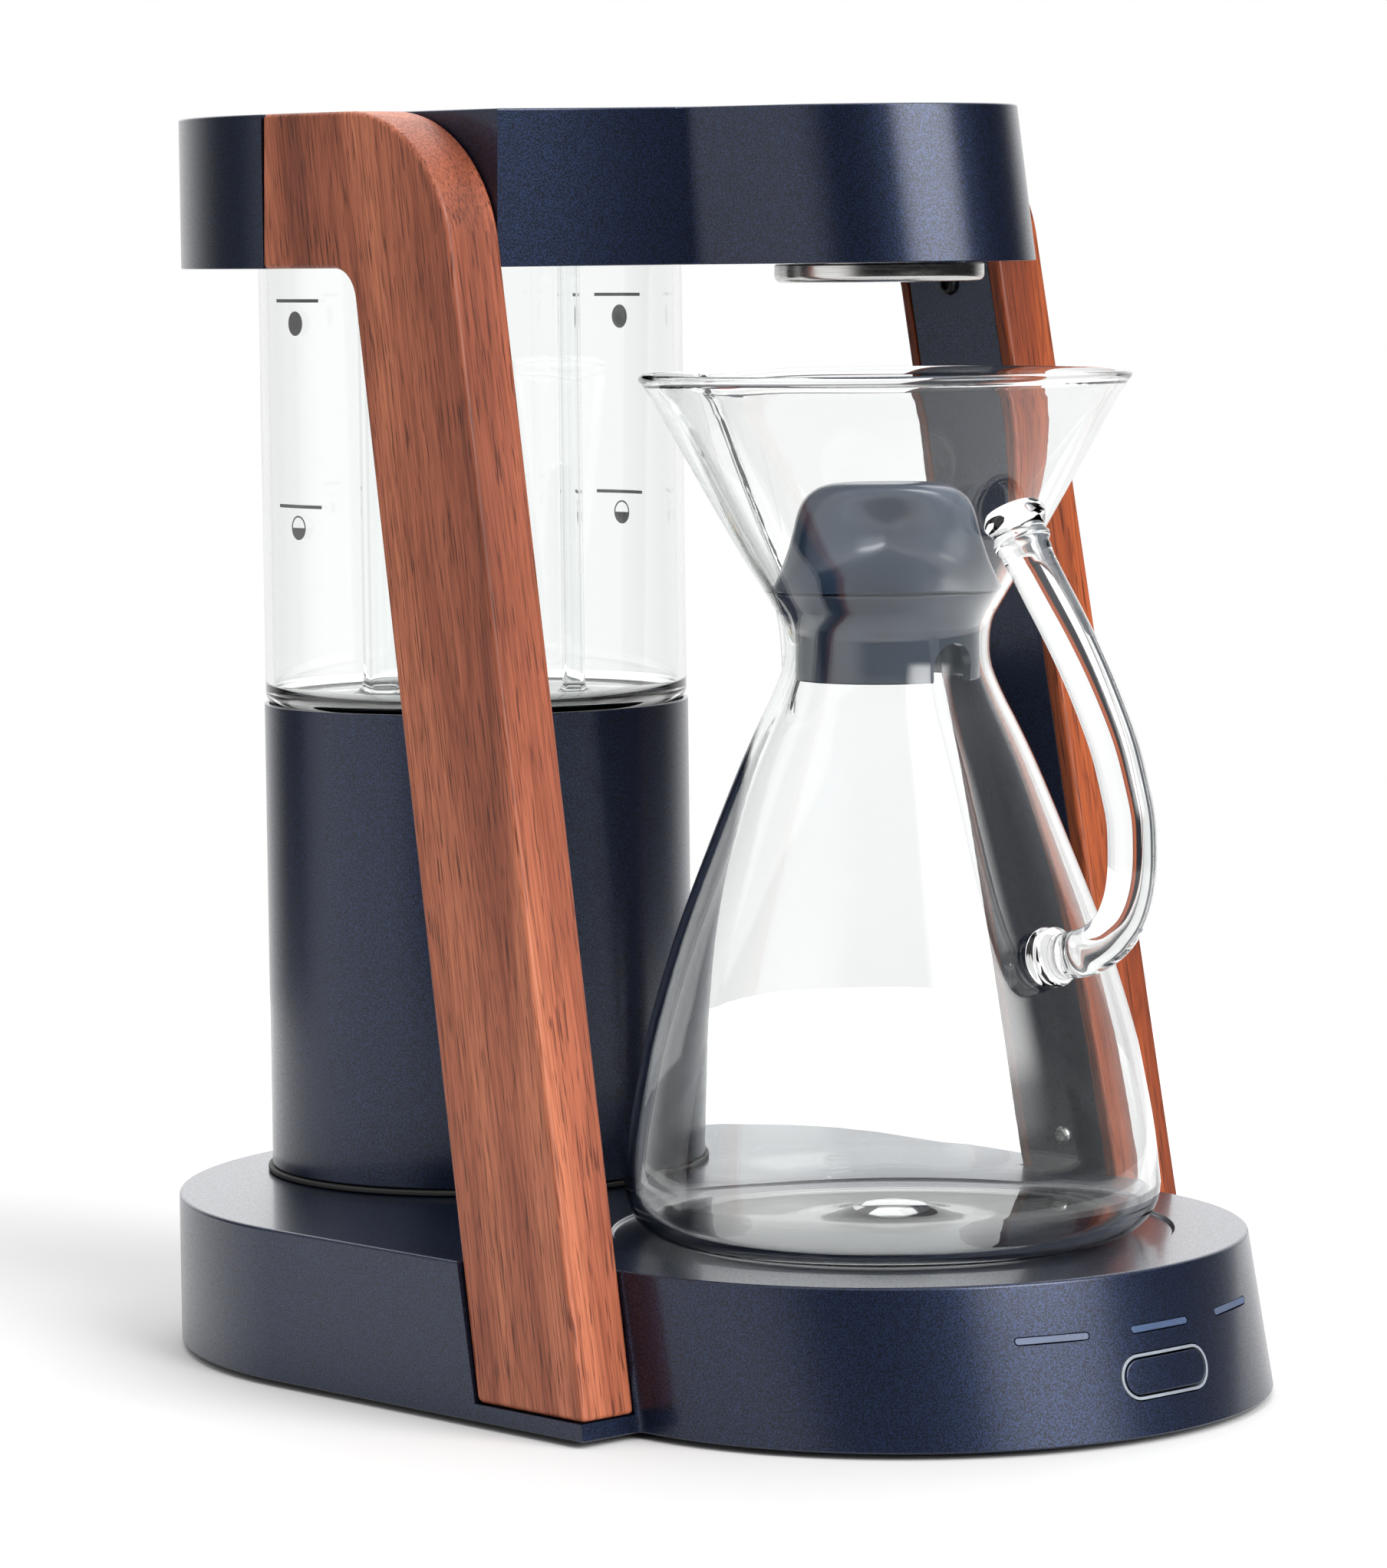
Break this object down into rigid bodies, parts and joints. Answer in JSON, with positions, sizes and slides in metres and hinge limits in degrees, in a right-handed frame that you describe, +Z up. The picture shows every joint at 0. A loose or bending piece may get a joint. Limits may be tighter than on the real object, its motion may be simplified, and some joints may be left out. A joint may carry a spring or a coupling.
{
  "type": "commercial coffee brewer",
  "caption": "Countertop pour-over coffee brewer: navy metal base, glass water tank on a round tower, flat top with shower head, wooden side arms and an hourglass glass carafe",
  "frame": {"origin": "on the counter under the middle of the object's outline, at the bottom of the feet", "axes": "+Z up; -Y is the front, where the carafe and the button are; the wooden arms stand at -X and +X"},
  "size_m": [0.2454, 0.3609, 0.362],
  "materials": {
    "paint": "midnight navy, fine metallic, satin",
    "plate_metal": "black, semi-matt",
    "walnut": "oiled walnut, long grain",
    "glass": "clear borosilicate",
    "steel": "brushed",
    "ring_metal": "satin",
    "cast_metal": "die cast",
    "brass": "machined",
    "charcoal": "fine satin moulding",
    "rubber": "matt",
    "silicone": "food-grade silicone",
    "wire": "woven sleeve",
    "circuit": "solder mask",
    "lamp": "frosted lens"
  },
  "bodies": {
    "machine": {"base_shell": "paint", "base_plate": "plate_metal", "foot_1": "rubber", "foot_2": "rubber", "foot_3": "rubber", "foot_4": "rubber", "base_screw_1": "steel", "base_screw_2": "steel", "base_screw_3": "steel", "base_screw_4": "steel", "cord_gland": "rubber", "mains_lead": "wire", "power_board": "circuit", "relay": "charcoal", "terminal_block": "silicone", "wire_harness": "wire", "control_board": "circuit", "tact_switch": "charcoal", "button_ring": "ring_metal", "button_spring": "steel", "light_bar_1": "lamp", "light_bar_2": "lamp", "light_bar_3": "lamp", "tower_foot_ring": "rubber", "tower_shell": "paint", "heater_mount": "plate_metal", "heater_block": "cast_metal", "heating_element": "steel", "thermostat": "charcoal", "inlet_hose": "silicone", "outlet_hose": "silicone", "check_valve_body": "brass", "outlet_fitting": "brass", "tank_cradle": "plate_metal", "tank_lower_seal": "silicone", "tank_glass": "glass", "riser_tube": "glass", "vent_tube": "glass", "tank_upper_seal": "silicone", "top_housing": "paint", "housing_cover": "paint", "shower_head": "steel", "shower_gasket": "silicone", "brew_pipe": "steel", "arm_left": "walnut", "arm_right": "walnut", "arm_plate_left": "paint", "arm_plate_right": "paint", "arm_screw_lower_left": "steel", "arm_screw_lower_right": "steel", "arm_screw_upper_left": "plate_metal", "arm_screw_upper_right": "plate_metal"},
    "carafe": {"carafe_body": "glass", "carafe_handle": "glass"},
    "stopper": {"stopper_grip": "charcoal", "stopper_plug": "charcoal"},
    "lid": {"tank_lid": "paint", "tank_lid_seal": "silicone"},
    "button": {"brew_button": "paint"},
    "valve_ball": {"check_valve_ball": "steel"}
  },
  "joints": [
    {"name": "carafe_slide", "type": "slide", "parent": "machine", "child": "carafe", "axis": [0, -0.9848, 0.174], "range_m": [0, 0.2]},
    {"name": "stopper_lift", "type": "slide", "parent": "carafe", "child": "stopper", "axis": [0, 0, 1], "range_m": [0, 0.05]},
    {"name": "tank_lid_lift", "type": "slide", "parent": "machine", "child": "lid", "axis": [0, 0, 1], "range_m": [0, 0.04]},
    {"name": "brew_button_press", "type": "slide", "parent": "machine", "child": "button", "axis": [0, 0.9781, -0.208], "range_m": [0, 0.0015], "stiffness_N_per_m": 900, "springref_m": -0.001, "deforming": ["button_spring"]},
    {"name": "valve_ball_lift", "type": "slide", "parent": "machine", "child": "valve_ball", "axis": [0, 0, 1], "range_m": [0, 0.0025]}
  ]
}
